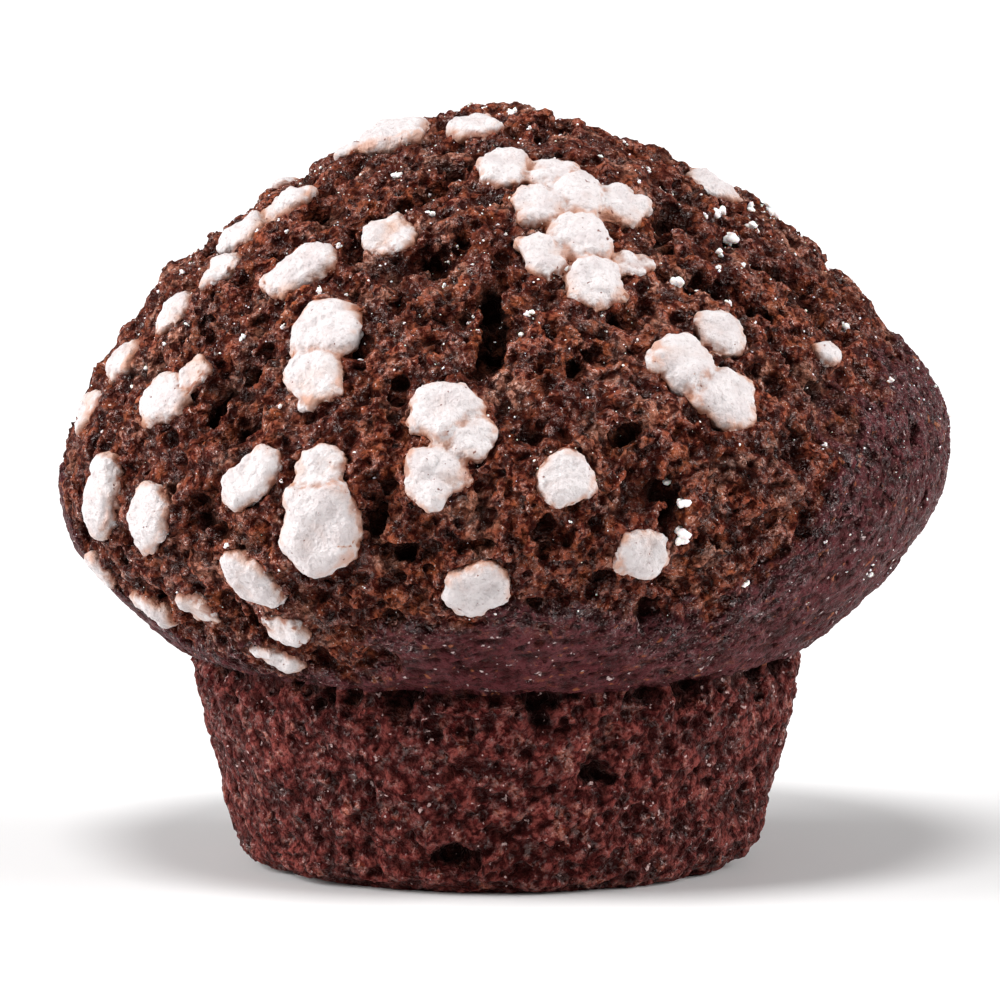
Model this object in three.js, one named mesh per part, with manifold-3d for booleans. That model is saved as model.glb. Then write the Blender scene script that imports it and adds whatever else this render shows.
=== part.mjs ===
// A small chocolate muffin, baked in a tin without a paper case and topped with lumps of pearl sugar.
// Millimetres, +Z up. The origin is the middle of the flat base, and the front faces -Y.
import * as THREE from "three";
import { mergeVertices } from "three/addons/utils/BufferGeometryUtils.js";
import Module from "manifold-3d";

const wasm = await Module();
wasm.setup();

// Driving sizes
const CAP_WIDTH = 59.5;
const HEIGHT = 50.6;

// The outline, from the middle of the base up to the crown, as radius and height
const CAP_RADIUS = CAP_WIDTH / 2;
const RIM_HEIGHT = 0.533 * HEIGHT;
const NECK_RADIUS = 0.69 * CAP_RADIUS;
const NECK_HEIGHT = 0.294 * HEIGHT;
const FOOT_RADIUS = 0.608 * CAP_RADIUS;
const CORNER_HEIGHT = 0.075 * HEIGHT;
const BASE_RADIUS = 0.51 * CAP_RADIUS;

// The rim is a little higher on the right, the lip hangs lower in front, and nothing is quite round
const RIM_TILT = 1.5;
const RIM_TILT_SPREAD = 7;
const LIP_DROOP = 1;
const LIP_DROOP_SPREAD = 7;
const OUT_OF_ROUND = [
  { waves: 2, share: 0.005, start: 3.1 },
  { waves: 3, share: 0.006, start: 2.1 },
  { waves: 5, share: 0.005, start: 4.0 },
];

// Heights of the torn edge of the smooth skin, every 30 degrees round from the front by the right
const SKIN_EDGE_HEIGHTS = [20.5, 21.5, 31, 33, 31, 27, 25, 25, 26, 27, 19, 17];

// How far the crags stand out or in, the spacing of their waves, and how deep their middle level lies
const CRAGS = [
  { height: 0.5, spacing: 15 },
  { height: 0.5, spacing: 7 },
  { height: 0.45, spacing: 4.2 },
];
const CRAG_DEPTH = 0.5;
const SKIN_SMOOTHNESS = 0.3;
const FOOT_SMOOTHNESS = 0.45;

// The front is seen from this many degrees above level: across and up, below, are measured in that view,
// from the axis and from the middle of the base
const VIEW_DOWN = THREE.MathUtils.degToRad(7);

// Sugar lumps that face the front: across, up, length, width and the turn of the length from level
const FRONT_LUMPS = [
  [-7.3, 48.7, 5.0, 4.4, 0],
  [-10.2, 47.7, 2.4, 2.0, 0],
  [-1.8, 49.4, 4.0, 3.4, 10],
  [-14.2, 44.1, 3.6, 3.4, 40],
  [-17.5, 42.1, 4.2, 3.6, 50],
  [-18.5, 39.7, 3.2, 2.6, 60],
  [-21.7, 36.7, 3.4, 2.8, 20],
  [-7.3, 41.9, 3.9, 3.6, 0],
  [-13.1, 39.7, 6.0, 3.6, 55],
  [-11.7, 35.2, 4.9, 4.2, 30],
  [-12.2, 31.9, 4.0, 3.4, 20],
  [-22.3, 30.7, 5.0, 3.6, 10],
  [-20.3, 32.5, 3.0, 2.4, 40],
  [-25.3, 33.7, 4.5, 2.6, 50],
  [-27.7, 30.3, 3.8, 3.4, 80],
  [-26.9, 24.4, 6.0, 4.2, 85],
  [-23.5, 22.9, 4.8, 3.6, 75],
  [-16.5, 25.5, 5.8, 3.0, 48],
  [-11.9, 26.7, 3.6, 2.2, 35],
  [-11.9, 22.1, 7.0, 5.0, 80],
  [-16.1, 18.8, 5.4, 3.2, -50],
  [-20.1, 16.7, 3.4, 2.6, 100],
  [-14.2, 15.4, 3.2, 2.8, 0],
  [-14.8, 13.4, 4.6, 2.4, -20],
  [-23.2, 16.7, 4.6, 2.4, -35],
  [-26.7, 19.3, 3.0, 3.0, 0],
  [-4.0, 30.3, 3.9, 3.8, 60],
  [-1.6, 28.5, 3.8, 3.4, 100],
  [-4.5, 25.7, 4.4, 3.8, 50],
  [0.3, 46.4, 4.4, 3.6, 70],
  [3.1, 46.1, 3.0, 2.8, 0],
  [5.1, 44.9, 3.8, 3.6, 0],
  [7.9, 43.9, 3.4, 3.2, 90],
  [2.3, 43.7, 3.0, 2.6, 0],
  [5.2, 41.9, 4.0, 3.6, -20],
  [2.7, 40.5, 3.4, 2.6, 100],
  [6.0, 38.7, 3.8, 3.2, 0],
  [8.9, 39.8, 2.8, 2.0, 20],
  [14.7, 35.2, 3.4, 3.0, 110],
  [12.3, 33.2, 4.8, 3.9, 80],
  [14.9, 31.0, 4.1, 4.0, 0],
  [14.3, 45.3, 4.2, 3.2, -30],
  [21.7, 34.2, 3.0, 2.4, -20],
  [4.2, 25.7, 3.7, 3.3, 0],
  [9.5, 20.5, 3.9, 3.5, 110],
  [-1.5, 18.3, 5.1, 4.0, 25],
];

// Tears and pits that face the front: across, up, length, width and turn as above, and the depth
const FRONT_TEARS = [
  [-0.4, 36.2, 9.5, 1.5, 92, 2.8],
  [-2.4, 41.5, 3.4, 1.4, 80, 1.6],
  [15.9, 38.5, 6.5, 1.5, -45, 2.0],
  [20.2, 33.4, 4.2, 1.4, 88, 1.6],
  [12.0, 23.8, 5.4, 1.3, 84, 1.8],
  [10.0, 16.2, 3.6, 2.0, 100, 2.0],
  [-19.1, 30.6, 4.0, 1.6, 80, 1.6],
  [-8.4, 22.8, 4.6, 1.3, 86, 1.6],
  [-16.3, 15.6, 2.4, 1.6, 10, 1.6],
  [-3.0, -0.2, 2.9, 2.2, 0, 1.8],
];

// Lumps and tears on the side that the front view doesn't show, spread by a rule
const BACK_LUMPS = 34;
const BACK_TEARS = 5;
const BACK_FROM = THREE.MathUtils.degToRad(100);
const BACK_TO = THREE.MathUtils.degToRad(262);
const GOLDEN_SHARE = (Math.sqrt(5) - 1) / 2;

// Facets: 20 * (detail + 1)^2 triangles on the crumb, 80 on a big lump and 36 on a small one
const CRUMB_DETAIL = 15;
const FOLD_SNAP = 0.011;
const BIG_LUMP = 6.4;

// A lump's flat facets cut inside the round shape that is measured, so it starts out this much bigger
const FACET_LOSS = 1.16;

// A seeded draw from 0 to 1, the same in each run
function drawFrom(seed) {
  let state = seed;
  return () => (state = (state * 16807) % 2147483647) / 2147483647;
}

const draw = drawFrom(2024);

// Outline of the muffin: flat base, rounded corner, slanted foot, rolled rim, dome
const outline = new THREE.Path()
  .moveTo(0, 0)
  .lineTo(BASE_RADIUS, 0)
  .bezierCurveTo(
    BASE_RADIUS + 2,
    0,
    FOOT_RADIUS - 0.6,
    0.4 * CORNER_HEIGHT,
    FOOT_RADIUS,
    CORNER_HEIGHT,
  )
  .lineTo(NECK_RADIUS, NECK_HEIGHT)
  .bezierCurveTo(
    0.87 * CAP_RADIUS,
    NECK_HEIGHT + 4.1,
    CAP_RADIUS,
    RIM_HEIGHT - 4.4,
    CAP_RADIUS,
    RIM_HEIGHT,
  )
  .bezierCurveTo(
    CAP_RADIUS,
    RIM_HEIGHT + 8,
    0.47 * CAP_RADIUS,
    HEIGHT,
    0,
    HEIGHT,
  );
const outlineLength = outline.getLength();
const baseShare = BASE_RADIUS / outlineLength;
const neckShare =
  (outline.curves[0].getLength() +
    outline.curves[1].getLength() +
    outline.curves[2].getLength()) /
  outlineLength;

// The smooth form at a bearing, from the front by the right, and a share of the way along the outline
function formPoint(bearing, share) {
  const { x: radius, y: height } = outline.getPoint(share);
  let round = 1;
  for (const { waves, share: depth, start } of OUT_OF_ROUND)
    round += depth * Math.cos(waves * bearing + start);
  const nearRim = Math.exp(-(((height - RIM_HEIGHT) / RIM_TILT_SPREAD) ** 2));
  const nearLip = Math.exp(-(((height - NECK_HEIGHT) / LIP_DROOP_SPREAD) ** 2));
  const onFoot = Math.min(height / NECK_HEIGHT, 1);
  return new THREE.Vector3(
    radius * round * Math.sin(bearing),
    -radius * round * Math.cos(bearing),
    height +
      RIM_TILT * nearRim * onFoot * Math.sin(bearing) -
      LIP_DROOP * nearLip * onFoot * Math.cos(bearing),
  );
}

// The outward normal of the form, and its level and upward tangents
function formFrame(bearing, share) {
  const step = 0.004;
  const level = formPoint(bearing + step, share)
    .sub(formPoint(bearing - step, share))
    .normalize();
  const upward = formPoint(bearing, Math.min(share + step, 1))
    .sub(formPoint(bearing, share - step))
    .normalize();
  const outward = level.clone().cross(upward).normalize();
  return { level, upward: outward.clone().cross(level), outward };
}

// The bearing and share of the point that the front view shows at across and up
function seenAt(across, up) {
  for (let share = 0.995; share > neckShare / 2; share -= 0.001) {
    const { x: radius, y: height } = outline.getPoint(share);
    const bearing = Math.asin(THREE.MathUtils.clamp(across / radius, -0.99, 0.99));
    const { y, z } = formPoint(bearing, share);
    if (
      Math.abs(across) < radius * 1.02 &&
      z * Math.cos(VIEW_DOWN) + y * Math.sin(VIEW_DOWN) <= up &&
      height > 0
    )
      return { bearing, share };
  }
  throw new Error(`nothing shows at ${across}, ${up}`);
}

// Unevenness of about -1 to 1, made of crossed waves that bend each other
function unevenness({ x, y, z }, spacing) {
  const turn = (2 * Math.PI) / spacing;
  return (
    (Math.sin(turn * (x + 0.6 * y) + 1.3 * Math.sin(0.7 * turn * z)) +
      Math.sin(turn * (y - 0.5 * z) + 1.7 * Math.sin(0.6 * turn * x)) +
      Math.sin(turn * (z + 0.4 * x) + 1.1 * Math.sin(0.8 * turn * y))) /
    3
  );
}

// Height of the torn edge of the skin at a bearing
function skinEdge(bearing) {
  const count = SKIN_EDGE_HEIGHTS.length;
  const place = ((bearing / (2 * Math.PI) + 1) % 1) * count;
  const before = Math.floor(place) % count;
  const after = (before + 1) % count;
  const ease = (1 - Math.cos(Math.PI * (place - Math.floor(place)))) / 2;
  return THREE.MathUtils.lerp(
    SKIN_EDGE_HEIGHTS[before],
    SKIN_EDGE_HEIGHTS[after],
    ease,
  );
}

// How rough the surface is: the dome most, the foot less, the skin least and the flat base not at all
function roughness(bearing, share) {
  if (share <= baseShare) return 0;
  const smooth = THREE.MathUtils.smoothstep;
  const { z } = formPoint(bearing, share);
  const onCap = share > neckShare;
  const torn = smooth(z, skinEdge(bearing) - 1, skinEdge(bearing) + 1);
  const rough = onCap
    ? THREE.MathUtils.lerp(SKIN_SMOOTHNESS, 1, torn)
    : FOOT_SMOOTHNESS;
  return rough * smooth(share, baseShare, 1.4 * baseShare);
}

function craggyPoint(bearing, share) {
  const point = formPoint(bearing, share);
  let relief = -CRAG_DEPTH;
  for (const { height, spacing } of CRAGS)
    relief += height * unevenness(point, spacing);
  relief *= roughness(bearing, share);
  return point.addScaledVector(formFrame(bearing, share).outward, relief);
}

// A closed solid from a geometry, and back
function solidOf(geometry) {
  geometry.deleteAttribute("normal");
  geometry.deleteAttribute("uv");
  const merged = mergeVertices(geometry, 1e-4);
  return new wasm.Manifold(
    new wasm.Mesh({
      numProp: 3,
      vertProperties: merged.attributes.position.array,
      triVerts: new Uint32Array(merged.index.array),
    }),
  );
}

function geometryOf(solid) {
  const { vertProperties, triVerts } = solid.getMesh();
  const geometry = new THREE.BufferGeometry();
  geometry.setAttribute("position", new THREE.BufferAttribute(vertProperties, 3));
  geometry.setIndex(new THREE.BufferAttribute(triVerts, 1));
  geometry.computeVertexNormals();
  return geometry;
}

// The crumb: a ball of even triangles laid over the form, with points near a fold moved onto it
function crumbSolid() {
  const geometry = new THREE.IcosahedronGeometry(1, CRUMB_DETAIL);
  const { position } = geometry.attributes;
  const direction = new THREE.Vector3();
  for (let i = 0; i < position.count; i++) {
    direction.fromBufferAttribute(position, i).normalize();
    let share = Math.acos(-direction.z) / Math.PI;
    for (const fold of [baseShare, neckShare])
      if (Math.abs(share - fold) < FOLD_SNAP) share = fold;
    const bearing = Math.atan2(direction.x, -direction.y);
    const { x, y, z } = craggyPoint(bearing, share);
    position.setXYZ(i, x, y, Math.max(z, 0));
  }
  return solidOf(geometry);
}

// An uneven blob on the surface: half sizes along its length, its width and outwards
function blobSolid({ bearing, share }, half, turn, sunk, uneven) {
  const geometry =
    2 * half.x < BIG_LUMP
      ? new THREE.SphereGeometry(1, 6, 4)
      : new THREE.IcosahedronGeometry(1, 1);
  const { position } = geometry.attributes;
  const { level, upward, outward } = formFrame(bearing, share);
  const middle = craggyPoint(bearing, share).addScaledVector(outward, -sunk);
  const frame = new THREE.Matrix4()
    .makeBasis(level, upward, outward)
    .setPosition(middle)
    .multiply(new THREE.Matrix4().makeRotationZ(THREE.MathUtils.degToRad(turn)));
  const seed = draw() * 100;
  const point = new THREE.Vector3();
  for (let i = 0; i < position.count; i++) {
    point.fromBufferAttribute(position, i);
    const shape = { x: point.x + seed, y: point.y - seed, z: point.z };
    point.multiplyScalar(1 + uneven * unevenness(shape, 1.7)).multiply(half);
    point.applyMatrix4(frame);
    position.setXYZ(i, point.x, point.y, point.z);
  }
  return solidOf(geometry);
}

// A sugar lump stands about two thirds out of the crumb
function lumpSolid(place, length, width, turn) {
  const thick = 0.42 * (length + width);
  const half = new THREE.Vector3(length, width, thick).multiplyScalar(FACET_LOSS / 2);
  return blobSolid(place, half, turn, 0.16 * thick, 0.13);
}

function tearSolid(place, length, width, turn, depth) {
  const half = new THREE.Vector3(length / 2, width / 2, depth);
  return blobSolid(place, half, turn, 0, 0.1);
}

// Places on the hidden side, spread by the golden ratio, fewer towards the crown
function backPlaces(count, lowest, highest) {
  return Array.from({ length: count }, (_, i) => {
    const climb = 1 - Math.sqrt(1 - (i + 0.5) / count);
    const round = (i * GOLDEN_SHARE + 0.06 * draw()) % 1;
    return {
      bearing: THREE.MathUtils.lerp(BACK_FROM, BACK_TO, round),
      share: THREE.MathUtils.lerp(lowest, highest, climb),
    };
  });
}

function muffinSolid() {
  const tears = FRONT_TEARS.map(([across, up, length, width, turn, depth]) =>
    tearSolid(seenAt(across, up), length, width, turn, depth),
  );
  for (const place of backPlaces(BACK_TEARS, 0.62, 0.95))
    tears.push(tearSolid(place, 3 + 4 * draw(), 1.4, 180 * draw(), 1.4 + draw()));
  const lumps = FRONT_LUMPS.map(([across, up, length, width, turn]) =>
    lumpSolid(seenAt(across, up), length, width, turn),
  );
  for (const place of backPlaces(BACK_LUMPS, 0.5, 0.94)) {
    const length = 3 + 2.8 * draw();
    lumps.push(lumpSolid(place, length, length * (0.68 + 0.27 * draw()), 180 * draw()));
  }
  const torn = tears.reduce((whole, tear) => whole.subtract(tear), crumbSolid());
  return lumps.reduce((whole, lump) => whole.add(lump), torn);
}

const crumbMaterial = new THREE.MeshStandardMaterial({
  color: new THREE.Color().setRGB(0.38, 0.2, 0.16, THREE.SRGBColorSpace),
  roughness: 0.75,
  metalness: 0,
});

const muffin = new THREE.Mesh(geometryOf(muffinSolid()), crumbMaterial);
muffin.name = "muffin";

const group = new THREE.Group();
group.add(muffin);
export default group;
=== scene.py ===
"""A small chocolate muffin with lumps of nib sugar on its dome, on a pale floor in soft studio light."""

import math
import random

import bmesh
import bpy
from mathutils import Matrix, Vector, geometry, kdtree, noise
from mathutils.bvhtree import BVHTree


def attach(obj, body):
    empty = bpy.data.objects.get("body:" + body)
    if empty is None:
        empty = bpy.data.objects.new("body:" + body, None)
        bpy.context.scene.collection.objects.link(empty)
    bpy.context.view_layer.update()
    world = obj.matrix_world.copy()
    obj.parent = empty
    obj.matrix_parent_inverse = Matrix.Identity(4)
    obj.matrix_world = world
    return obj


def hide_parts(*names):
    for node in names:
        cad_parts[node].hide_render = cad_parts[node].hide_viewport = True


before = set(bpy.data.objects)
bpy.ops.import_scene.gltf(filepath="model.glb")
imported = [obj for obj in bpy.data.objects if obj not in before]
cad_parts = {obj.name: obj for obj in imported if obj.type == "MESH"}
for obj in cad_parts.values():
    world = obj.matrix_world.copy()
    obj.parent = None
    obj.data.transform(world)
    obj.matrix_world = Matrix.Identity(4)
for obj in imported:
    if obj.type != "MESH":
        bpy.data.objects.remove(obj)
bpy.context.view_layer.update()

# Camera
# A long lens a little above level, as the photograph was taken, aimed at the middle of the muffin.
VIEW_DOWN = math.radians(7)
CAMERA_DISTANCE = 0.746
AIM_HEIGHT = 0.0243

camera = bpy.data.objects.new("camera", bpy.data.cameras.new("camera"))
bpy.context.collection.objects.link(camera)
camera.data.lens = 400
camera.data.sensor_width = 36
camera.data.clip_start = 0.05
camera.data.clip_end = 20
looking = Vector((0, math.cos(VIEW_DOWN), -math.sin(VIEW_DOWN)))
camera.location = Vector((0, 0, AIM_HEIGHT)) - looking * CAMERA_DISTANCE
camera.rotation_euler = (math.pi / 2 - VIEW_DOWN, 0, 0)
bpy.context.scene.camera = camera

# Crumb
# The cake itself: a foot that took the shape of the tin, a rim that rolled over the tin's edge and kept a
# smooth skin, and a dome that tore open as it rose and shows its crumb. It bakes in one piece.
MM = 0.001
CAP_RADIUS = 29.75
HEIGHT = 50.6
RIM_HEIGHT = 0.533 * HEIGHT
NECK_RADIUS = 0.69 * CAP_RADIUS
NECK_HEIGHT = 0.294 * HEIGHT
FOOT_RADIUS = 0.608 * CAP_RADIUS
CORNER_HEIGHT = 0.075 * HEIGHT
BASE_RADIUS = 0.51 * CAP_RADIUS
RIM_TILT = 1.5
LIP_DROOP = 1.0
TILT_SPREAD = 7.0
FOOT_SPREAD = 0.02
FOOT_SHIFT = -0.4
# Shallow lobes round the form: how many, how deep as a share of the radius, and where they start
OUT_OF_ROUND = [(2, 0.005, 3.1), (3, 0.006, 2.1), (5, 0.005, 4.0)]
# Height of the skin's torn edge at twelve bearings, from the front round by the right
SKIN_EDGE_HEIGHTS = [20.5, 19.5, 34, 35, 31, 27, 25, 25, 26, 27, 16.5, 15.5]
# Crags of the baked surface: height and spacing
CRAGS = [(0.5, 15), (0.4, 7), (0.25, 4.2)]
CRAG_DEPTH = 0.5
SPIN_STEPS = 240
FORM_VOXEL = 0.35
CRUMB_VOXEL = 0.26
WELL_OUTSIDE = 100
ELSEWHERE = Vector((5, 5, 5))
FLAT_BASE = 0.02
noise.seed_set(7)


def polyline(*curves):
    """The points of straight and Bezier stretches, laid end to end."""
    points = []
    for curve in curves:
        if len(curve) == 2:
            count = max(2, round((Vector(curve[1]) - Vector(curve[0])).length))
            stretch = [Vector(curve[0]).lerp(Vector(curve[1]), i / count) for i in range(count + 1)]
        else:
            start, bend_a, bend_b, end = (Vector(point) for point in curve)
            stretch = geometry.interpolate_bezier(start, bend_a, bend_b, end, 40)
        points += stretch if not points else stretch[1:]
    return points


# Half of the section, from the middle of the base by its corner, the foot, the lip and the dome to the crown
outline = polyline(
    ((0, 0, 0), (BASE_RADIUS, 0, 0)),
    (
        (BASE_RADIUS, 0, 0),
        (BASE_RADIUS + 2, 0, 0),
        (FOOT_RADIUS - 0.6, 0, 0.4 * CORNER_HEIGHT),
        (FOOT_RADIUS, 0, CORNER_HEIGHT),
    ),
    ((FOOT_RADIUS, 0, CORNER_HEIGHT), (NECK_RADIUS, 0, NECK_HEIGHT)),
    (
        (NECK_RADIUS, 0, NECK_HEIGHT),
        (0.87 * CAP_RADIUS, 0, NECK_HEIGHT + 4.1),
        (CAP_RADIUS, 0, RIM_HEIGHT - 4.4),
        (CAP_RADIUS, 0, RIM_HEIGHT),
    ),
    (
        (CAP_RADIUS, 0, RIM_HEIGHT),
        (CAP_RADIUS, 0, RIM_HEIGHT + 8),
        (0.47 * CAP_RADIUS, 0, HEIGHT),
        (0, 0, HEIGHT),
    ),
)


def smoothstep(low, high, value):
    """0 at low, 1 at high and a smooth way between; low may be the greater."""
    share = min(max((value - low) / (high - low), 0), 1)
    return share * share * (3 - 2 * share)


def out_of_true(point):
    """Where a point of the round form goes: tilted rim, drooping lip, shallow lobes, shifted foot."""
    bearing = math.atan2(point.x, -point.y)
    lobes = 1 + sum(depth * math.cos(waves * bearing + start) for waves, depth, start in OUT_OF_ROUND)
    near_rim = math.exp(-(((point.z - RIM_HEIGHT) / TILT_SPREAD) ** 2))
    near_lip = math.exp(-(((point.z - NECK_HEIGHT) / TILT_SPREAD) ** 2))
    on_foot = min(point.z / NECK_HEIGHT, 1)
    rise = RIM_TILT * near_rim * math.sin(bearing) - LIP_DROOP * near_lip * math.cos(bearing)
    below = smoothstep(RIM_HEIGHT, NECK_HEIGHT, point.z)
    across = point.x * (lobes + FOOT_SPREAD * below) + FOOT_SHIFT * below
    return Vector((across, point.y * lobes, point.z + rise * on_foot))


def skin_edge(point):
    """Height of the torn edge of the skin at a point's bearing."""
    place = (math.atan2(point.x, -point.y) / math.tau % 1) * len(SKIN_EDGE_HEIGHTS)
    before = int(place)
    after = (before + 1) % len(SKIN_EDGE_HEIGHTS)
    ease = (1 - math.cos(math.pi * (place - before))) / 2
    return SKIN_EDGE_HEIGHTS[before] * (1 - ease) + SKIN_EDGE_HEIGHTS[after] * ease


def torn(point):
    """0 on the smooth skin, 1 on open crumb, with a ragged edge between them."""
    ragged = 2.2 * noise.fractal(point / 4.5, 0.6, 2.1, 4) + 1.1 * noise.noise(point / 1.3)
    return smoothstep(-1.0, 0.9, point.z - skin_edge(point) + ragged)


def wrinkled(point):
    """How much the skin is drawn into wrinkles: most just below its torn edge, at the right most of all."""
    below = skin_edge(point) - point.z
    return smoothstep(3 + 14 * smoothstep(5, 20, point.x), 0, below)


def worn(relief):
    """Relief with its high spots worn down, as the tops of crumbs are blunter than the gaps between them."""
    return relief if relief < 0 else 0.35 * relief


def unevenness(point, spacing):
    """Rounded crags of a spacing, from -1 to 1."""
    turn = math.tau / spacing
    x, y, z = point
    return (
        math.sin(turn * (x + 0.6 * y) + 1.3 * math.sin(0.7 * turn * z))
        + math.sin(turn * (y - 0.5 * z) + 1.7 * math.sin(0.6 * turn * x))
        + math.sin(turn * (z + 0.4 * x) + 1.1 * math.sin(0.8 * turn * y))
    ) / 3


def remeshed(mesh, voxel):
    """A closed mesh made again of even faces, in place of the first one."""
    holder = bpy.data.objects.new("holder", mesh)
    bpy.context.collection.objects.link(holder)
    modifier = holder.modifiers.new("Even faces", "REMESH")
    modifier.mode = "VOXEL"
    modifier.voxel_size = voxel
    bpy.context.view_layer.update()
    evaluated = holder.evaluated_get(bpy.context.evaluated_depsgraph_get())
    copy = bpy.data.meshes.new_from_object(evaluated)
    bpy.data.objects.remove(holder)
    bpy.data.meshes.remove(mesh)
    return copy


def tree_of(mesh):
    """A search tree of a mesh's faces."""
    return BVHTree.FromPolygons([v.co for v in mesh.vertices], [p.vertices for p in mesh.polygons])


def round_form():
    """The outline spun round the axis and put out of true."""
    form = bmesh.new()
    ring = [form.verts.new(point) for point in outline]
    edges = [form.edges.new(pair) for pair in zip(ring, ring[1:])]
    bmesh.ops.spin(
        form,
        geom=ring + edges,
        axis=(0, 0, 1),
        cent=(0, 0, 0),
        angle=math.tau,
        steps=SPIN_STEPS,
        use_merge=True,
        use_duplicate=False,
    )
    bmesh.ops.remove_doubles(form, verts=form.verts, dist=0.001)
    bmesh.ops.recalc_face_normals(form, faces=form.faces)
    for vert in form.verts:
        vert.co = out_of_true(vert.co)
    mesh = bpy.data.meshes.new("form")
    form.to_mesh(mesh)
    form.free()
    return mesh


form = remeshed(round_form(), FORM_VOXEL)
form_tree = tree_of(form)


def facing_camera(across, up, tree):
    """The point and outward direction seen at across and up from the base, drawn in if it would miss."""
    upward = Vector((0, math.sin(VIEW_DOWN), math.cos(VIEW_DOWN)))
    place = None
    while place is None:
        start = Vector((across, 0, 0)) + upward * up - looking * (2 * WELL_OUTSIDE)
        place, outward, _, _ = tree.ray_cast(start, looking)
        across *= 0.99
    return place, outward


# Tears and pits in the dome and foot: across, up, length, width, turn from level, depth
TEARS = [
    (-0.4, 36.2, 9.5, 1.7, 92, 3.4),
    (-1.2, 33.5, 3.5, 1.3, 60, 1.8),
    (0.6, 38.6, 3.0, 1.3, 120, 1.6),
    (-2.4, 41.5, 3.4, 1.6, 80, 2.2),
    (-4.7, 44.9, 3.2, 1.8, 10, 2.0),
    (-4.7, 40.5, 2.6, 1.6, 30, 1.7),
    (-9.3, 41.3, 3.2, 1.2, 85, 1.5),
    (-9.2, 34.4, 2.6, 1.5, 70, 1.5),
    (11.5, 43.2, 4.2, 2.2, 0, 2.0),
    (14.3, 38.4, 4.2, 1.6, -40, 2.2),
    (17.2, 37.0, 4.4, 1.5, -48, 2.2),
    (19.6, 33.2, 4.2, 1.5, 88, 1.8),
    (11.3, 23.8, 5.6, 1.1, 84, 2.0),
    (9.9, 16.2, 3.4, 2.2, 100, 2.6),
    (-19.1, 30.6, 3.8, 1.5, 80, 2.0),
    (-8.4, 22.8, 4.6, 1.2, 86, 2.0),
    (-16.3, 15.6, 2.2, 1.5, 10, 1.8),
    (27.7, 28.1, 2.2, 1.7, 80, 2.4),
    (10.0, 11.0, 2.4, 1.3, 0, 1.2),
    (6.5, 5.6, 3.4, 1.8, 0, 1.4),
    (-3.1, 0.1, 4.2, 2.6, 0, 2.2),
    (3.0, 20.5, 2.4, 1.3, 20, 1.4),
    (5.0, 33.0, 3.0, 1.4, 70, 1.6),
    (8.8, 29.0, 2.6, 1.4, 20, 1.5),
    (-6.8, 37.0, 2.8, 1.2, 100, 1.4),
]
BACK_TEARS = 26
GOLDEN_RATIO = 0.618034
FIRST_HIDDEN_BEARING = 104
HIDDEN_SPAN = 152

draw = random.Random(2024)


def surface_frame(place, outward, turn):
    """A frame on the surface: X along the turned length, Z outwards."""
    level = Vector((0, 0, 1)).cross(outward).normalized()
    upward = outward.cross(level)
    matrix = Matrix((level, upward, outward)).transposed().to_4x4()
    return Matrix.Translation(place) @ matrix @ Matrix.Rotation(math.radians(turn), 4, "Z")


def facing_axis(bearing, tilt, height, tree):
    """The point and outward direction met on the way in to the axis, from a bearing and tilt in radians."""
    level = math.cos(tilt)
    way_in = Vector((-math.sin(bearing) * level, math.cos(bearing) * level, -math.sin(tilt)))
    place, outward, _, _ = tree.ray_cast(Vector((0, 0, height)) - way_in * WELL_OUTSIDE, way_in)
    return place, outward


def hidden_places(count, lowest, highest, tree):
    """Places on the side that the photograph doesn't show, spread evenly by the golden ratio."""
    places = []
    for i in range(count):
        along = (i * GOLDEN_RATIO + 0.06 * draw.random()) % 1
        bearing = math.radians(FIRST_HIDDEN_BEARING + HIDDEN_SPAN * along)
        climb = 1 - math.sqrt(1 - (i + 0.5) / count)
        tilt = math.radians(lowest + (highest - lowest) * climb)
        places.append(facing_axis(bearing, tilt, RIM_HEIGHT - 4, tree))
    return places


tear_frames = []
for across, up, length, width, turn, depth in TEARS:
    place, outward = facing_camera(across, up, form_tree)
    tear_frames.append((surface_frame(place, outward, turn), length / 2, width / 2, depth))
for place, outward in hidden_places(BACK_TEARS, 8, 84, form_tree):
    length = 2 + 5 * draw.random() ** 2
    turn = 180 * draw.random()
    tear_frames.append((surface_frame(place, outward, turn), length / 2, 0.7, 1.4 + draw.random()))

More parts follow.
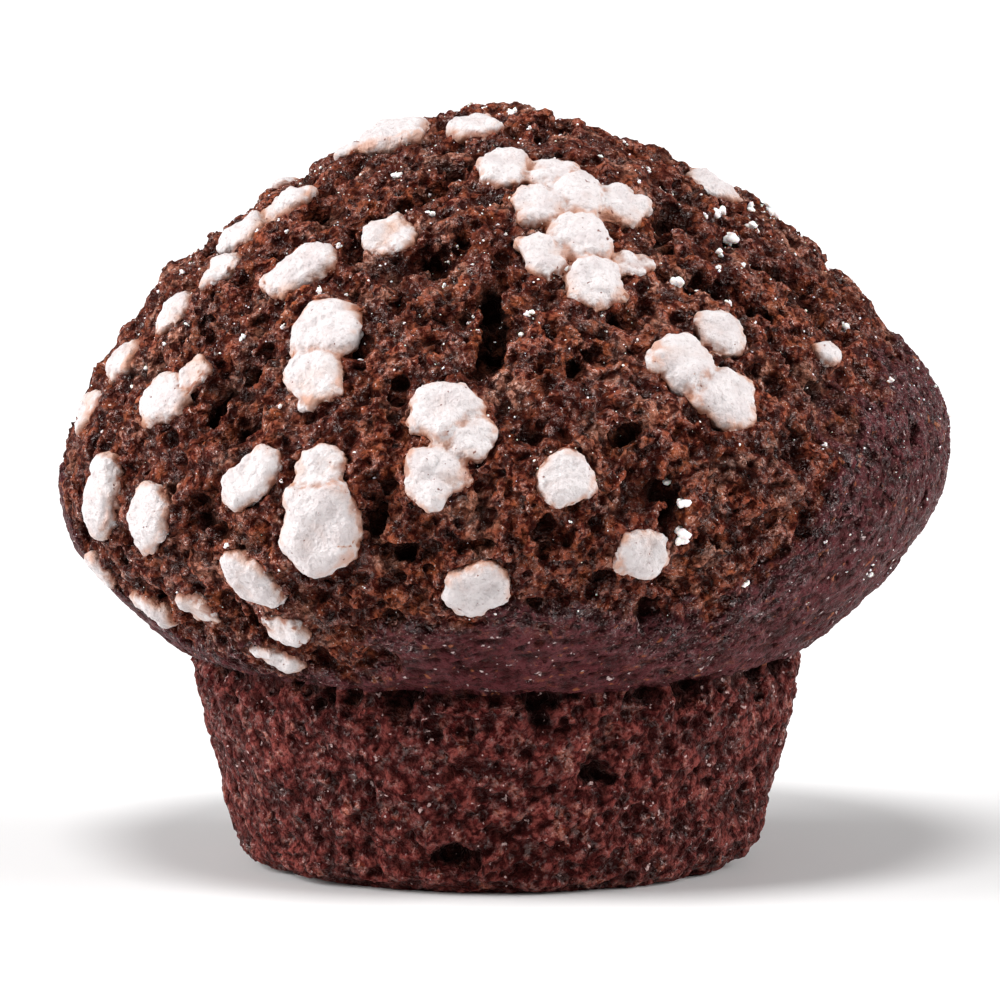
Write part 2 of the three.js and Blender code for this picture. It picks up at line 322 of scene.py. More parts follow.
# Sugar lumps that face the front, which press a bed in the crumb: across, up, length, width, turn from level
LUMPS = [
    (-7.2, 48.6, 6.0, 5.2, 0),
    (-10.2, 47.6, 2.8, 2.4, 0),
    (-1.8, 49.2, 4.2, 4.0, 10),
    (-14.2, 44.0, 4.0, 3.8, 40),
    (-17.3, 41.9, 4.8, 4.0, 50),
    (-18.6, 39.6, 3.8, 3.0, 60),
    (-21.7, 36.7, 3.6, 3.2, 20),
    (-7.3, 41.7, 4.2, 4.0, 0),
    (-13.1, 39.5, 6.2, 4.0, 52),
    (-11.5, 35.2, 5.7, 5.2, 30),
    (-12.2, 32.5, 4.7, 4.4, 10),
    (-22.2, 30.9, 5.2, 4.0, 12),
    (-20.3, 32.5, 3.0, 2.6, 40),
    (-25.3, 33.5, 4.6, 3.4, 50),
    (-27.6, 30.2, 4.0, 3.6, 80),
    (-26.4, 24.4, 6.4, 4.0, 85),
    (-23.3, 23.0, 5.2, 4.0, 75),
    (-16.4, 25.5, 5.8, 3.5, 48),
    (-11.8, 26.3, 4.4, 3.2, 28),
    (-11.8, 22.3, 7.6, 5.8, 78),
    (-16.2, 18.7, 5.6, 3.4, -50),
    (-20.0, 16.8, 3.4, 3.0, 100),
    (-14.2, 15.4, 3.4, 3.0, 0),
    (-14.8, 13.5, 4.6, 2.6, -20),
    (-23.2, 16.7, 4.6, 2.6, -35),
    (-26.7, 19.3, 3.2, 3.0, 0),
    (-3.3, 29.9, 6.0, 4.8, -38),
    (-1.9, 28.4, 4.2, 3.7, 100),
    (-4.3, 25.9, 4.9, 4.2, 50),
    (0.5, 46.3, 5.4, 4.0, 75),
    (3.3, 45.9, 4.6, 4.2, 0),
    (5.2, 44.3, 5.6, 5.0, 70),
    (8.0, 43.9, 5.2, 3.8, 90),
    (2.6, 43.7, 4.6, 3.8, 60),
    (5.3, 41.6, 5.4, 4.6, 70),
    (2.7, 40.3, 5.2, 3.2, 95),
    (6.2, 38.5, 4.6, 4.3, 0),
    (8.9, 39.8, 3.2, 2.6, 20),
    (14.6, 35.2, 4.3, 3.8, 110),
    (12.3, 33.1, 5.6, 4.6, 80),
    (14.7, 31.1, 5.0, 5.0, 60),
    (14.3, 45.2, 4.6, 4.0, -30),
    (21.7, 34.1, 2.8, 2.3, -20),
    (4.2, 25.5, 4.3, 3.9, 0),
    (9.4, 20.5, 4.1, 3.7, 110),
    (-1.5, 18.2, 5.2, 4.2, 25),
]
BACK_LUMPS = 34
# How deep a lump presses the crumb under it, and how high the crumb laps up round it
BED_DEPTH = 0.35
LAP = 0.25

lump_frames = []
for across, up, length, width, turn in LUMPS:
    place, outward = facing_camera(across, up, form_tree)
    lump_frames.append((surface_frame(place, outward, turn), length, width))
for place, outward in hidden_places(BACK_LUMPS, 0, 84, form_tree):
    length = 2.6 + 4 * draw.random() ** 1.4
    width = length * (0.62 + 0.33 * draw.random())
    lump_frames.append((surface_frame(place, outward, 180 * draw.random()), length, width))

# Depth of the tears at each point of the form
points = kdtree.KDTree(len(form.vertices))
for vert in form.vertices:
    points.insert(vert.co, vert.index)
points.balance()
tear_depth = [0.0] * len(form.vertices)
for matrix, half_length, half_width, depth in tear_frames:
    inverse = matrix.inverted()
    for co, index, _ in points.find_range(matrix.translation, half_length + 2):
        local = inverse @ (co + 0.5 * noise.noise_vector(co / 1.1))
        reach = math.hypot(local.x / half_length, local.y / half_width)
        tear_depth[index] = max(tear_depth[index], depth * smoothstep(1.15, 0.35, reach))

# How far each point of the form is in the bed of a lump
bedding = [0.0] * len(form.vertices)
for matrix, length, width in lump_frames:
    inverse = matrix.inverted()
    for co, index, _ in points.find_range(matrix.translation, 0.8 * length):
        local = inverse @ co
        reach = 2 * math.hypot(local.x / length, local.y / width)
        bedding[index] = max(bedding[index], smoothstep(1.35, 0.9, reach))


def broad_relief(point, tear, bed):
    """Crags, cracks and pits of a millimetre and more, as millimetres outwards."""
    above_neck = point.z - NECK_HEIGHT - LIP_DROOP * point.y / NECK_RADIUS
    on_cap = smoothstep(-0.3, 0.3, above_neck)
    open_crumb = torn(point) * on_cap
    base = smoothstep(0.0, 1.2, point.z + max(0, Vector(point.xy).length - BASE_RADIUS))
    rough = (open_crumb + 0.3 * (1 - open_crumb)) * on_cap + 0.45 * (1 - on_cap)
    crags = sum(height * unevenness(point, spacing) for height, spacing in CRAGS) - CRAG_DEPTH
    warped = point + 1.1 * noise.noise_vector(point / 3.1)
    vein = abs(noise.noise(warped / 4.6))
    crack = smoothstep(0.11, 0.0, vein) * smoothstep(-0.15, 0.2, noise.noise(point / 7.0))
    pit = smoothstep(0.18, 0.5, noise.noise(warped / 2.1))
    lump = noise.fractal(point / 2.6, 0.8, 2.0, 3)
    opened = 0.2 + worn(0.6 * lump) - 1.0 * crack - 0.9 * pit
    under_lip = smoothstep(-4.5, -0.6, above_neck)
    shaded = 1.1 * smoothstep(0.0, 0.35, noise.noise(warped / 1.7)) + 0.7 * smoothstep(-1.6, -0.4, above_neck)
    foot = 0.12 * noise.noise(point / 3.3) - 0.27 * pit - shaded * under_lip
    relief = crags * rough + opened * open_crumb + foot * (1 - on_cap)
    raised_skin = 0.2 * (1 - open_crumb) * on_cap
    bedded = (relief + raised_skin) * (1 - bed) - BED_DEPTH * bed + LAP * 4 * bed * (1 - bed)
    return (bedded - tear * (open_crumb + 0.8 * (1 - open_crumb))) * base


normals = [vert.normal.copy() for vert in form.vertices]
for vert in form.vertices:
    shift = broad_relief(vert.co, tear_depth[vert.index], bedding[vert.index])
    vert.co = vert.co + normals[vert.index] * shift
    vert.co.z = max(vert.co.z, 0)

crumb = remeshed(form, CRUMB_VOXEL)


def granule(point, size, seed):
    """Rounded grains of a size with gaps between them: -1 in a gap to 1 on a high grain."""
    place = point / size + Vector((seed, seed, seed))
    distances, centres = noise.voronoi(place)
    gap = smoothstep(0.0, 0.3, distances[1] - distances[0])
    height = 0.6 + 0.4 * noise.cell(centres[0] * 37.7)
    return gap * (1 - 0.7 * distances[0]) * 2 * height - 1


def pores(point, size, share):
    """Round holes, 1 in a hole and 0 outside, in about a share of the cells of a size."""
    distances, centres = noise.voronoi(point / size)
    chance = 0.5 + 0.5 * noise.cell(centres[0] * 23.3)
    radius = 0.2 + 0.2 * (chance / share)
    return smoothstep(radius + 0.14, radius - 0.1, distances[0]) if chance < share else 0


def fine_relief(point):
    """Crumb of under a millimetre and a half, as millimetres outwards, and where it is open or wrinkled."""
    on_cap = smoothstep(NECK_HEIGHT - 0.6, NECK_HEIGHT + 0.6, point.z + LIP_DROOP * -point.y / NECK_RADIUS)
    open_crumb = torn(point) * on_cap
    warped = point + 0.45 * noise.noise_vector(point / 1.3)
    rough = noise.fractal(warped / 1.2, 0.5, 2.2, 4)
    hole = max(pores(warped, 1.5, 0.55), 0.8 * pores(warped + ELSEWHERE, 0.9, 0.5))
    crumbs = worn(0.4 * rough + 0.2 * granule(warped, 0.95, 3.1)) - 0.6 * hole
    porous = worn(0.22 * rough + 0.15 * granule(warped, 0.8, 3.1)) - 0.42 * hole
    level = Vector((point.x, point.y, 2.2 * point.z))
    leather = 0.14 * noise.turbulence(level / 1.3, 4, False) - 0.07
    dimple = smoothstep(0.4, 0.54, noise.noise(level / 0.8))
    wrinkle = 0.45 * (0.25 - abs(noise.fractal(warped / 1.4, 0.7, 2.2, 3))) * wrinkled(point)
    skin = leather - 0.3 * dimple + 0.05 * rough + wrinkle
    relief = crumbs * open_crumb + (skin * on_cap + porous * (1 - on_cap)) * (1 - open_crumb)
    return relief, open_crumb, wrinkled(point) * on_cap


# The fine relief, and what the finishes need to know of it at each point
hollow = []
opened = []
drawn_up = []
tops = []
normals = [vert.normal.copy() for vert in crumb.vertices]
for vert in crumb.vertices:
    relief, open_crumb, wrinkles = fine_relief(vert.co)
    on_base = vert.co.z < FLAT_BASE
    if not on_base:
        vert.co = vert.co + normals[vert.index] * relief
        vert.co.z = max(vert.co.z, 0)
    _, _, _, distance = form_tree.find_nearest(vert.co)
    hollow.append(distance)
    opened.append(open_crumb)
    drawn_up.append(wrinkles)
    tops.append(0 if on_base else relief)


def add_attribute(mesh, name, values):
    """Keep a value for each point of a mesh, for its finish to read."""
    attribute = mesh.attributes.new(name, "FLOAT", "POINT")
    attribute.data.foreach_set("value", values)


add_attribute(crumb, "hollow", hollow)
add_attribute(crumb, "open_crumb", opened)
add_attribute(crumb, "wrinkles", drawn_up)
add_attribute(crumb, "grain", tops)


class Value:
    """A number that varies over a surface. Python's operators on it add Math nodes."""

    def __init__(self, shader, socket):
        self.shader = shader
        self.socket = socket

    def math(self, operation, *others):
        """The result of a Math node on this value and others."""
        inputs = dict(enumerate([self, *others]))
        node = self.shader.node("ShaderNodeMath", {"operation": operation}, inputs)
        return Value(self.shader, node.outputs[0])

    def __add__(self, other):
        return self.math("ADD", other)

    def __sub__(self, other):
        return self.math("SUBTRACT", other)

    def __mul__(self, other):
        return self.math("MULTIPLY", other)

    def __rsub__(self, other):
        node = self.shader.node("ShaderNodeMath", {"operation": "SUBTRACT"}, {0: other, 1: self})
        return Value(self.shader, node.outputs[0])

    __radd__ = __add__
    __rmul__ = __mul__

    def between(self, low, high):
        """0 below low, 1 above high and a smooth rise between; low may be the greater."""
        settings = {"interpolation_type": "SMOOTHSTEP"}
        sockets = {"Value": self, "From Min": low, "From Max": high}
        node = self.shader.node("ShaderNodeMapRange", settings, sockets)
        return Value(self.shader, node.outputs[0])


class Finish:
    """A material whose nodes are added one call at a time."""

    def __init__(self, name, **constants):
        self.material = bpy.data.materials.new(name)
        self.material.use_nodes = True
        self.tree = self.material.node_tree
        self.surface = self.tree.nodes["Principled BSDF"]
        for socket, value in constants.items():
            self.surface.inputs[socket.replace("_", " ")].default_value = value
        self.place = self.node("ShaderNodeTexCoord", {}, {}).outputs["Object"]

    def node(self, kind, settings, sockets):
        """A new node: its settings first, as they decide its sockets, then the sockets' values or links."""
        node = self.tree.nodes.new(kind)
        for name, setting in settings.items():
            setattr(node, name, setting)
        for name, value in sockets.items():
            if isinstance(value, Value):
                value = value.socket
            if isinstance(value, bpy.types.NodeSocket):
                self.tree.links.new(value, node.inputs[name])
            else:
                node.inputs[name].default_value = value
        return node

    def attribute(self, name):
        """A value that the mesh keeps for each of its points."""
        node = self.node("ShaderNodeAttribute", {"attribute_name": name}, {})
        return Value(self, node.outputs["Fac"])

    def noise(self, size, detail=3.0, roughness=0.55, place=None):
        """Noise of about 0 to 1 whose blotches are about size millimetres."""
        sockets = {"Vector": place or self.place, "Scale": 1 / (size * MM)}
        node = self.node("ShaderNodeTexNoise", {}, {**sockets, "Detail": detail, "Roughness": roughness})
        return Value(self, node.outputs["Fac"])

    def warp(self, size, reach):
        """The place on the surface, pushed about by reach millimetres in blotches of size."""
        sockets = {"Vector": self.place, "Scale": 1 / (size * MM), "Detail": 2.0}
        push = self.node("ShaderNodeTexNoise", {}, sockets).outputs["Color"]
        level = self.node("ShaderNodeVectorMath", {"operation": "SUBTRACT"}, {0: push, 1: (0.5, 0.5, 0.5)})
        sockets = {0: level.outputs[0], 1: (2 * reach * MM,) * 3, 2: self.place}
        return self.node("ShaderNodeVectorMath", {"operation": "MULTIPLY_ADD"}, sockets).outputs[0]

    def cells(self, size, place=None):
        """Distance from the middle of a cell of about size millimetres."""
        sockets = {"Vector": place or self.place, "Scale": 1 / (size * MM)}
        node = self.node("ShaderNodeTexVoronoi", {}, sockets)
        return Value(self, node.outputs["Distance"])

    def blend(self, share, first, second):
        """From the first colour to the second as share goes from 0 to 1."""
        sockets = {0: share, 6: first, 7: second}
        return self.node("ShaderNodeMix", {"data_type": "RGBA"}, sockets).outputs[2]

    def layered(self, base, *layers):
        """A colour with others laid over it in turn, each with its share of 0 to 1."""
        for share, over in layers:
            base = self.blend(share, base, over)
        return base

    def bump(self, height, depth):
        """Relief of the given depth in millimetres, where height goes from 0 to 1."""
        node = self.node("ShaderNodeBump", {}, {"Height": height, "Distance": depth * MM, "Strength": 1.0})
        self.tree.links.new(node.outputs["Normal"], self.surface.inputs["Normal"])

    def feed(self, socket, value):
        """Link a value or a colour to a socket of the surface."""
        if isinstance(value, Value):
            value = value.socket
        self.tree.links.new(value, self.surface.inputs[socket])

    def wet(self, share, **constants):
        """The same colour and relief with a wet shine, on a share of the surface."""
        sockets = {name.replace("_", " "): value for name, value in constants.items()}
        for name in ("Base Color", "Normal"):
            sockets[name] = self.surface.inputs[name].links[0].from_socket
        shine = self.node("ShaderNodeBsdfPrincipled", {}, sockets)
        sockets = {0: share, 1: self.surface.outputs[0], 2: shine.outputs[0]}
        mixed = self.node("ShaderNodeMixShader", {}, sockets)
        self.tree.links.new(mixed.outputs[0], self.tree.nodes["Material Output"].inputs["Surface"])


def colour(red, green, blue):
    """An sRGB colour of 0 to 255 as a linear one with full opacity."""
    linear = [((c / 255 + 0.055) / 1.055) ** 2.4 if c > 10 else c / 3295 for c in (red, green, blue)]
    return (*linear, 1)


def grit(finish, size, bend):
    """The finest crumb, grains of about size millimetres: its height, its high spots and its gaps."""
    place = finish.warp(1.3 * size, bend * size)
    away = finish.cells(size, place)
    fine = finish.cells(0.45 * size, place)
    rough = finish.noise(0.55 * size, 2, 0.55, place)
    gap = away.between(0.5, 0.8)
    height = rough - 0.4 * away - 0.15 * fine
    high = (rough - 0.25 * away - 0.1 * fine).between(0.2, 0.42)
    return height, high, gap


def crumb_finish():
    """Torn crumb, brown on its high spots, with painted shade near black in its gaps, low spots and hollows,
    and the plum-brown skin of the rim.
    """
    finish = Finish(
        "chocolate crumb",
        Specular_IOR_Level=0.03,
        Specular_Tint=(1, 0.6, 0.5, 1),
        Sheen_Weight=0.03,
        Sheen_Roughness=0.4,
        Sheen_Tint=(1, 0.6, 0.5, 1),
    )
    # How far a point lies below the smooth form: it darkens the colour as painted shade and keeps the wet
    # shine out of the hollows
    deep = finish.attribute("hollow").between(0.7, 2.2)
    grain = finish.attribute("grain").between(-0.45, 0.1)
    open_crumb = finish.attribute("open_crumb")
    wrinkles = finish.attribute("wrinkles")
    blotch = finish.noise(5.0, 4)
    height, high, gap = grit(finish, 0.6, 0.6)
    on_high = 0.3 + 0.7 * high
    warm = finish.noise(1.6, 3).between(0.45, 0.65) * on_high
    dry = finish.noise(3.0, 4, 0.6).between(0.52, 0.66) * on_high
    # Speckle for white specks on the crumb, partly sugar dust and partly painted glints, and for the painted
    # glints on the wrinkled skin
    dust_and_glint_speckle = finish.noise(0.22, 2, 0.6)
    crumb_colour = finish.layered(
        # Brown on the high spots and darker in the low ones: partly the crumb's own colour, partly painted
        # shade
        finish.blend(high, colour(70, 18, 11), colour(148, 77, 56)),
        # Warm orange on the high spots: partly the crumb's own tone, partly a painted glow of light through
        # thin crumb
        (warm * 0.65, colour(158, 84, 48)),
        (blotch.between(0.42, 0.6) * 0.55, colour(72, 26, 20)),
        (dry * 0.65, colour(190, 134, 112)),
        # White specks on the high spots: partly sugar dust, partly painted glints
        (dust_and_glint_speckle.between(0.63, 0.69) * high * 0.85, colour(222, 196, 186)),
        # Painted shade: the gaps between grains, the low spots and the deep hollows darkened nearly to black
        (gap * 0.8, colour(40, 8, 4)),
        ((1 - grain) * 0.85, colour(36, 5, 3)),
        (deep * 0.9, colour(14, 3, 2)),
    )
    rusty = finish.noise(1.2, 4, 0.7).between(0.56, 0.7)
    dark_specks = finish.noise(0.45, 3, 0.7).between(0.5, 0.36)
    dimple = 1 - finish.attribute("grain").between(-0.2, 0.0)
    spots = finish.noise(0.9, 2).between(0.65, 0.73)
    dust = finish.noise(0.55, 2).between(0.67, 0.73)
    # Painted glints: pale specks where the skin is wrinkled, standing in for its wet shine
    painted_glints = dust_and_glint_speckle.between(0.58, 0.68) * wrinkles
    skin_colour = finish.layered(
        finish.blend(blotch.between(0.35, 0.65), colour(80, 35, 39), colour(94, 49, 53)),
        (rusty * 0.8, colour(118, 64, 52)),
        (dark_specks * 0.85, colour(42, 11, 13)),
        # Painted shade in the skin's dimples
        (dimple * 0.85, colour(32, 7, 8)),
        (spots * 0.8, colour(146, 86, 58)),
        (dust * 0.85, colour(204, 182, 180)),
        # Painted glints on the wrinkled skin
        (painted_glints * 0.5, colour(176, 142, 136)),
    )
    finish.feed("Base Color", finish.blend(open_crumb, skin_colour, crumb_colour))
    finish.feed("Roughness", 0.35 + 0.3 * finish.noise(0.9, 2))
    folds = 1.5 * finish.noise(0.7, 2, 0.5).between(0.3, 0.55) * wrinkles
    leather = finish.noise(0.45, 3, 0.6) + folds
    finish.bump(height * open_crumb + leather * (1 - open_crumb), 0.6)
    moist = finish.noise(1.1, 3, 0.7).between(0.4, 0.6) * (1 - deep) * (0.06 + 0.94 * high)
    shine = open_crumb + wrinkles * (1 - open_crumb)
    finish.wet(moist * (0.2 + 0.6 * shine), Specular_IOR_Level=1.0, Roughness=0.22)
    return finish.material


def foot_finish():
    """The drier and redder crumb that lay against the tin."""
    finish = Finish(
        "chocolate foot",
        Specular_IOR_Level=0.03,
        Specular_Tint=(1, 0.6, 0.55, 1),
        Sheen_Weight=0.06,
        Sheen_Roughness=0.4,
        Sheen_Tint=(1, 0.6, 0.55, 1),
    )
    # How far a point lies below the smooth form: it darkens the colour as painted shade and keeps the wet
    # shine out of the hollows
    deep = finish.attribute("hollow").between(0.5, 1.5)
    grain = finish.attribute("grain").between(-0.3, 0.07)
    blotch = finish.noise(4.0, 4)
    height, high, gap = grit(finish, 0.62, 0.25)
    warm = finish.noise(1.1, 3).between(0.52, 0.7) * (0.3 + 0.7 * high)
    flecks = finish.noise(0.6, 2).between(0.68, 0.73)
    foot_colour = finish.layered(
        # Brown on the high spots and darker in the low ones: partly the crumb's own colour, partly painted
        # shade
        finish.blend(high, colour(80, 25, 24), colour(130, 64, 58)),
        (warm * 0.75, colour(168, 84, 54)),
        (blotch.between(0.42, 0.62) * 0.4, colour(74, 33, 33)),
        # Painted shade: the gaps between grains, the low spots and the deep hollows darkened nearly to black
        (gap * 0.8, colour(36, 7, 7)),
        ((1 - grain) * 0.85, colour(33, 6, 6)),
        (deep * 0.9, colour(10, 2, 2)),
        (flecks * 0.75, colour(206, 176, 172)),
    )
    finish.feed("Base Color", foot_colour)
    finish.feed("Roughness", 0.4 + 0.3 * finish.noise(0.9, 2))
    finish.bump(height, 0.55)
    moist = finish.noise(1.1, 3, 0.7).between(0.45, 0.65) * (1 - deep) * high
    finish.wet(moist, Specular_IOR_Level=0.8, Roughness=0.3)
    return finish.material


def piece_of(mesh, name, cuts, material):
    """The part of a mesh behind each cutting plane (point, normal), as a piece in metres."""
    part = bmesh.new()
    part.from_mesh(mesh)
    for place, away in cuts:
        geom = part.verts[:] + part.edges[:] + part.faces[:]
        bmesh.ops.bisect_plane(part, geom=geom, dist=1e-5, plane_co=place, plane_no=away, clear_outer=True)
    for face in part.faces:
        face.smooth = True
    bmesh.ops.scale(part, verts=part.verts, vec=(MM, MM, MM))
    cut = bpy.data.meshes.new(name)
    part.to_mesh(cut)
    part.free()
    cut.materials.append(material)
    piece = bpy.data.objects.new(name, cut)
    bpy.context.collection.objects.link(piece)
    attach(piece, "root")
    print(name, sum(len(face.vertices) - 2 for face in cut.polygons), "triangles")
    return piece


neck_cut = (0, 0, NECK_HEIGHT - 0.2)
neck_slope = (0, -LIP_DROOP / NECK_RADIUS, 1)
away_from_neck = tuple(-c for c in neck_slope)
cap_colours = crumb_finish()
cap_front = piece_of(crumb, "cap_front", [(neck_cut, away_from_neck), ((0, 0, 0), (0, 1, 0))], cap_colours)
cap_back = piece_of(crumb, "cap_back", [(neck_cut, away_from_neck), ((0, 0, 0), (0, -1, 0))], cap_colours)
foot = piece_of(crumb, "foot", [(neck_cut, neck_slope)], foot_finish())
for piece in (cap_front, cap_back, foot):
    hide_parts("muffin")

# Sugar lumps
# Nib sugar: crystals pressed into irregular white lumps of 3 to 7 mm. They were strewn on the batter, sank in
# a little as it rose, and took on brown stains where they touch the crumb.
SINK = 0.6
SUGAR_VOXEL = 0.22


def ball(subdivisions):
    """A unit ball of triangles to stretch and strew."""
    shape = bmesh.new()
    bmesh.ops.create_icosphere(shape, subdivisions=subdivisions, radius=1)
    mesh = bpy.data.meshes.new("ball")
    shape.to_mesh(mesh)
    shape.free()
    return mesh


def strewn(shapes, name):
    """One mesh of many shapes, each a mesh and the matrix that places it."""
    heap = bmesh.new()
    for shape, matrix in shapes:
        copy = shape.copy()
        copy.transform(matrix)
        heap.from_mesh(copy)
        bpy.data.meshes.remove(copy)
    mesh = bpy.data.meshes.new(name)
    heap.to_mesh(mesh)
    heap.free()
    return mesh


pressed_ball = ball(3)
for vert in pressed_ball.vertices:
    vert.co.z = 0.75 * math.tanh(1.6 * vert.co.z)
knob_ball = ball(2)

# Each lump: a pressed middle with smaller knobs round its sides, grown into one
heaps = []
for matrix, length, width in lump_frames:
    thick = 0.34 * (length + width)
    sunk = Matrix.Translation((0, 0, -SINK))
    middle = Matrix.Diagonal((0.47 * length, 0.46 * width, 0.48 * thick, 1))
    heaps.append((pressed_ball, matrix @ sunk @ middle))
    knobs = 3 + round(0.4 * length)
    for i in range(knobs):
        angle = math.tau * (i + 0.8 * draw.random()) / knobs
        reach = 0.17 + 0.08 * draw.random()
        size = 0.24 + 0.08 * draw.random()
        rise = thick * (0.12 * draw.random() - 0.1) - 0.5 * SINK
        place = Matrix.Translation((reach * length * math.cos(angle), reach * width * math.sin(angle), rise))
        turned = Matrix.Rotation(math.tau * draw.random(), 4, "Z")
        knob = Matrix.Diagonal((1.4 * size * width, size * width, (0.24 + 0.1 * draw.random()) * thick, 1))
        heaps.append((knob_ball, matrix @ place @ turned @ knob))
sugar = remeshed(strewn(heaps, "sugar"), SUGAR_VOXEL)

middles = kdtree.KDTree(len(lump_frames))
for i, (matrix, _, _) in enumerate(lump_frames):
    middles.insert(matrix.translation, i)
middles.balance()
into_lumps = [matrix.inverted() for matrix, _, _ in lump_frames]


def seam_and_edge(point):
    """How near a point is to where two lumps meet, and to its lump's own outline, each 0 to 1."""
    reaches = []
    for _, i, distance in middles.find_n(point, 3):
        _, length, width = lump_frames[i]
        local = into_lumps[i] @ point
        reaches.append((2 * distance / (length + width), 2 * math.hypot(local.x / length, local.y / width)))
    (nearest, reach), (next_nearest, _), _ = sorted(reaches)
    ragged = noise.noise(point / 0.6)
    seam = smoothstep(0.16, 0.02, next_nearest - nearest + 0.1 * ragged)
    edge = smoothstep(0.72, 1.0, reach + 0.12 * ragged)
    return seam, edge


# The crystals on the lumps, and what their finish needs to know at each point
crumb_tree = tree_of(crumb)
normals = [vert.normal.copy() for vert in sugar.vertices]
clear = []
seams = []
edges = []
for vert in sugar.vertices:
    warped = vert.co + 0.35 * noise.noise_vector(vert.co / 0.9)
    chunk = 0.34 * noise.noise(vert.co / 2.0) + 0.12 * granule(warped, 2.0, 2.2)
    crystal = 0.09 * granule(warped, 0.8, 7.7) + 0.17 * noise.noise(vert.co / 0.5)
    _, _, _, distance = crumb_tree.find_nearest(vert.co)
    seam, edge = seam_and_edge(vert.co)
    shift = chunk + crystal * (0.4 + 0.4 * smoothstep(1.1, 0.3, distance)) - 0.2 * seam
    vert.co = vert.co + normals[vert.index] * shift
    seams.append(seam)
    edges.append(edge)
    near, outward, _, distance = crumb_tree.find_nearest(vert.co)
    clear.append(distance if (vert.co - near).dot(outward) > 0 else 0)
add_attribute(sugar, "clear", clear)
add_attribute(sugar, "seam", seams)
add_attribute(sugar, "edge", edges)


def sugar_finish():
    """Milky white crystals, stained brown at the rim, in the seams and where they soaked up syrup."""
    finish = Finish("nib sugar", Subsurface_Weight=0.3, Subsurface_Scale=0.0005, Specular_IOR_Level=0.4)
    finish.surface.inputs["Subsurface Radius"].default_value = (1.0, 0.85, 0.8)
    clear = finish.attribute("clear")
    patch = finish.noise(1.6, 4)
    grainy = finish.noise(0.3, 3, 0.7)
    white = finish.blend(patch.between(0.35, 0.7), colour(210, 203, 203), colour(195, 185, 185))
    # Painted shade: greyer where the fine grain of the bump is low
    white = finish.blend(grainy.between(0.47, 0.32) * 0.6, white, colour(172, 160, 159))
    yellowed = finish.noise(3.2, 3).between(0.56, 0.72)
    soaked = (1 - clear.between(0.1, 0.7)) * patch.between(0.4, 0.6)
    edge = finish.attribute("edge") * finish.noise(1.2, 4).between(0.42, 0.58)
    seam = finish.attribute("seam") * finish.noise(0.7, 3).between(0.4, 0.6)
    rim = (1 - clear.between(0.05, 0.4)) * finish.noise(0.8, 3).between(0.34, 0.48)
    dots = finish.noise(0.4, 1).between(0.73, 0.78)
    stained = finish.layered(
        white,
        (yellowed * 0.3, colour(212, 184, 170)),
        (soaked * 0.6, colour(200, 150, 118)),
        (edge * 0.7, colour(184, 128, 98)),
        (seam * 0.7, colour(168, 112, 82)),
        (rim * 0.9, colour(136, 78, 52)),
        (dots * 0.9, colour(104, 52, 36)),
    )
    finish.feed("Base Color", stained)
    finish.feed("Roughness", 0.4 + 0.35 * finish.noise(0.6, 2))
    finish.bump(grainy + 0.5 * finish.cells(0.4), 0.2)
    return finish.material


lumps = piece_of(sugar, "sugar_lumps", [], sugar_finish())
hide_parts("muffin")

# Sugar bits and grains
# Chips and dust broken off the same sugar, strewn with the lumps and stuck to the crumb all over the cap.

# Chips that face the front: across, up, length
CHIPS = [
    (-6.8, 45.6, 0.8),
    (14.5, 43.1, 1.2),
    (15.0, 41.5, 1.4),
    (16.8, 42.3, 1.2),
    (16.5, 43.7, 0.9),
    (18.2, 43.4, 1.6),
    (22.9, 35.4, 1.1),
    (11.5, 38.2, 1.1),
    (11.9, 21.9, 1.5),
    (11.8, 23.7, 1.2),
    (10.8, 25.5, 0.8),
    (16.0, 18.7, 0.7),
]
CRUMBS_IN_A_CHIP = 4
LOOSE_CHIPS = 220
GRAINS = 1800


def shower(count, seed):
    """Places all over the cap where something strewn from above comes to rest."""
    rain = random.Random(seed)
    places = []
    while len(places) < count:
        bearing = math.tau * rain.random()
        tilt = math.radians(-12 + 100 * rain.random() ** 1.3)
        place, outward = facing_axis(bearing, tilt, RIM_HEIGHT - 2, crumb_tree)
        settles = (0.1 + 0.9 * math.sin(max(tilt, 0))) * (0.1 + 0.9 * math.cos(tilt))
        if place and place.z > NECK_HEIGHT + 2 and rain.random() < 1.6 * settles:
            places.append((place, outward))
    return places


def tumbled(place, outward, size):
    """The matrix of a chip of a size, turned at random and sunk a little into what it fell on."""
    axis = Vector((draw.random() - 0.5, draw.random() - 0.5, draw.random())).normalized()
    turned = Matrix.Rotation(math.tau * draw.random(), 4, axis)
    length = size * (0.8 + 0.3 * draw.random())
    width = size * (0.6 + 0.3 * draw.random())
    shape = Matrix.Diagonal((length, width, 0.6 * size, 1))
    return Matrix.Translation(place + outward * 0.2 * size) @ turned @ shape


def clump(place, outward, size):
    """A chip of a size, as a few crumbs of sugar pressed together."""
    crumbs = []
    for _ in range(CRUMBS_IN_A_CHIP):
        apart = Vector((draw.random() - 0.5, draw.random() - 0.5, draw.random() - 0.5)) * size
        crumbs.append((chip_ball, tumbled(place + apart, outward, size * (0.35 + 0.3 * draw.random()))))
    return crumbs


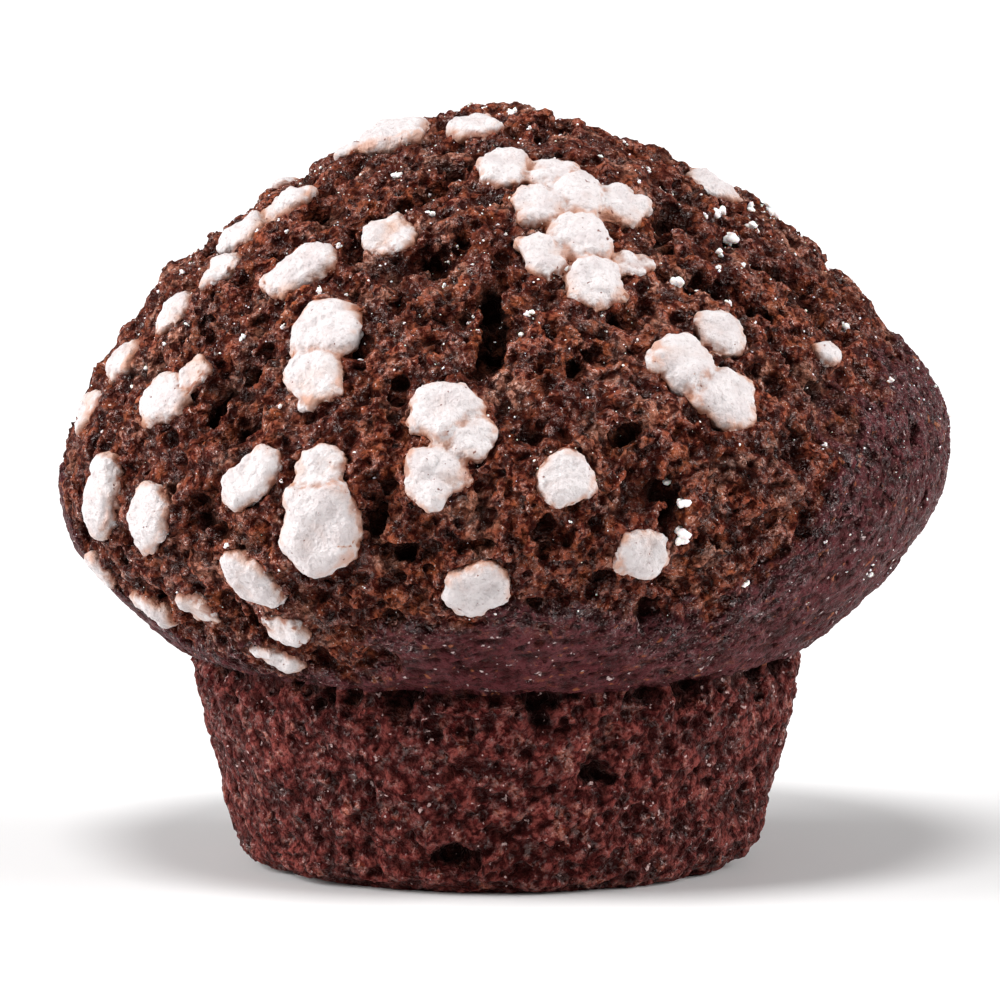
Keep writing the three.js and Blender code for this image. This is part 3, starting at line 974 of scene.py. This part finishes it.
chip_ball = ball(2)
for vert in chip_ball.vertices:
    vert.co *= 1 + 0.5 * noise.noise(vert.co * 1.3)
grain_ball = ball(1)
strewings = []
for across, up, length in CHIPS:
    place, outward = facing_camera(across, up, crumb_tree)
    strewings += clump(place, outward, 0.6 * length)
for place, outward in shower(LOOSE_CHIPS, 5):
    strewings += clump(place, outward, 0.14 + 0.3 * draw.random() ** 2)
for place, outward in shower(GRAINS, 11):
    strewings.append((grain_ball, tumbled(place, outward, 0.05 + 0.1 * draw.random() ** 3)))
grain_finish = Finish("sugar grains", Roughness=0.35, Subsurface_Weight=0.2, Subsurface_Scale=0.0003)
grain_white = grain_finish.blend(grain_finish.noise(2.0, 2), colour(236, 222, 219), colour(252, 249, 248))
grain_finish.feed("Base Color", grain_white)
grains = piece_of(strewn(strewings, "strewings"), "sugar_grains", [], grain_finish.material)

# Floor, light and air
# A plain pale floor under a soft tent of light from both sides and above, with less light from the front.
floor_mesh = bpy.data.meshes.new("floor")
tiles = bmesh.new()
bmesh.ops.create_grid(tiles, x_segments=1, y_segments=1, size=3)
tiles.to_mesh(floor_mesh)
tiles.free()
floor_finish = Finish("pale floor", Roughness=0.6, Base_Color=colour(231, 230, 230))
floor_mesh.materials.append(floor_finish.material)
floor = bpy.data.objects.new("floor", floor_mesh)
bpy.context.collection.objects.link(floor)

# Each light: where it comes from, how strong it is and how wide it is in degrees
LIGHTS = [
    ("left", (-1.0, -0.15, 0.5), 3.9, 40),
    ("right", (1.0, -0.12, 0.45), 2.95, 40),
    ("top", (-0.1, -0.35, 1.0), 1.9, 18),
]
for name, source, strength, width in LIGHTS:
    light = bpy.data.objects.new("light_" + name, bpy.data.lights.new("light_" + name, "SUN"))
    light.data.energy = strength
    light.data.angle = math.radians(width)
    light.rotation_euler = Vector(source).to_track_quat("Z", "Y").to_euler()
    bpy.context.collection.objects.link(light)

air = bpy.data.worlds.new("studio")
air.use_nodes = True
air.node_tree.nodes["Background"].inputs["Color"].default_value = (1, 1, 1, 1)
air.node_tree.nodes["Background"].inputs["Strength"].default_value = 0.25
bpy.context.scene.world = air
bpy.context.scene.view_settings.view_transform = "Standard"
